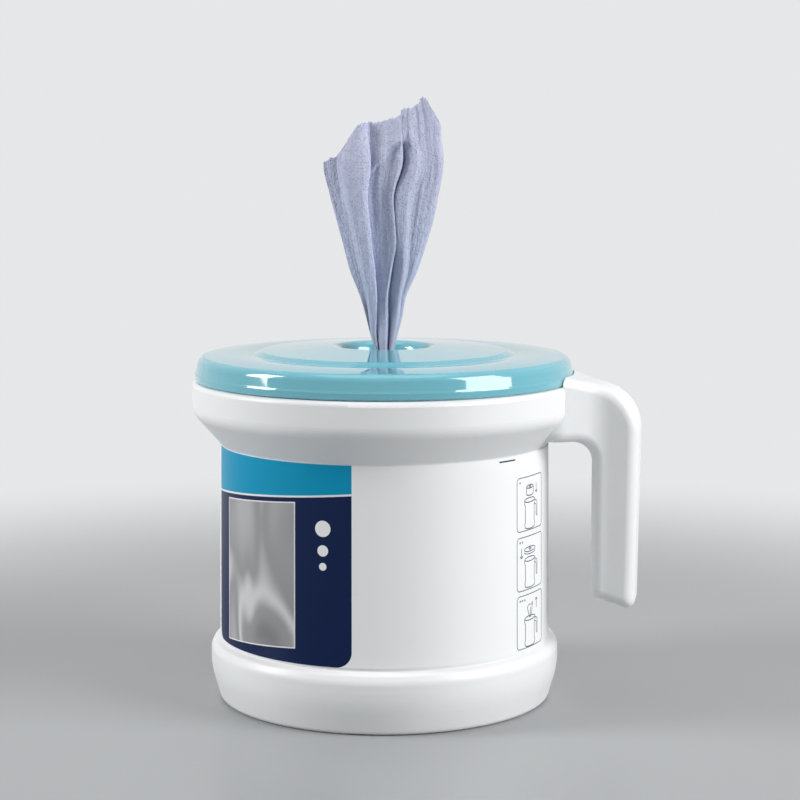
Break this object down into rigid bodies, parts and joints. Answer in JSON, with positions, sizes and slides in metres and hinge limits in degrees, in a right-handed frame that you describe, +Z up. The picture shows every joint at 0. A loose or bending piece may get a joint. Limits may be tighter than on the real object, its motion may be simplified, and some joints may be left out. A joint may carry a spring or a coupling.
{
  "type": "centrefeed roll dispenser",
  "caption": "Portable bucket dispenser for a centrefeed wiping roll, with a hook handle at its side and a push-on lid whose middle nozzle feeds the paper upwards.",
  "frame": {"origin": "centre of the ring that it stands on, at the height of the surface", "axes": "+Z up along the axis of bucket and roll, +X out through the middle of the handle, +Y across"},
  "size_m": [0.2668, 0.2284, 0.3567],
  "materials": {
    "bucket_plastic": "blow-moulded, satin to glossy white",
    "label_film": "printed film, white with a blue picture panel",
    "lid_plastic": "glossy see-through teal",
    "nozzle_plastic": "satin, dark teal",
    "paper": "soft embossed wiping paper, lavender blue"
  },
  "bodies": {
    "bucket": {"bucket_body": "bucket_plastic", "hook_handle": "bucket_plastic", "wrap_label": "label_film", "paper_roll": "paper", "inner_turn": "paper"},
    "lid": {"lid_shell": "lid_plastic", "feed_nozzle": "nozzle_plastic", "nozzle_ring": "nozzle_plastic"},
    "paper": {"paper_strand": "paper", "paper_sheet": "paper"}
  },
  "joints": [
    {"name": "lid_lift", "type": "slide", "parent": "bucket", "child": "lid", "axis": [0, 0, 1], "range_m": [0, 0.12]},
    {"name": "paper_pull", "type": "slide", "parent": "lid", "child": "paper", "axis": [0, 0, 1], "range_m": [0, 0.1]}
  ]
}
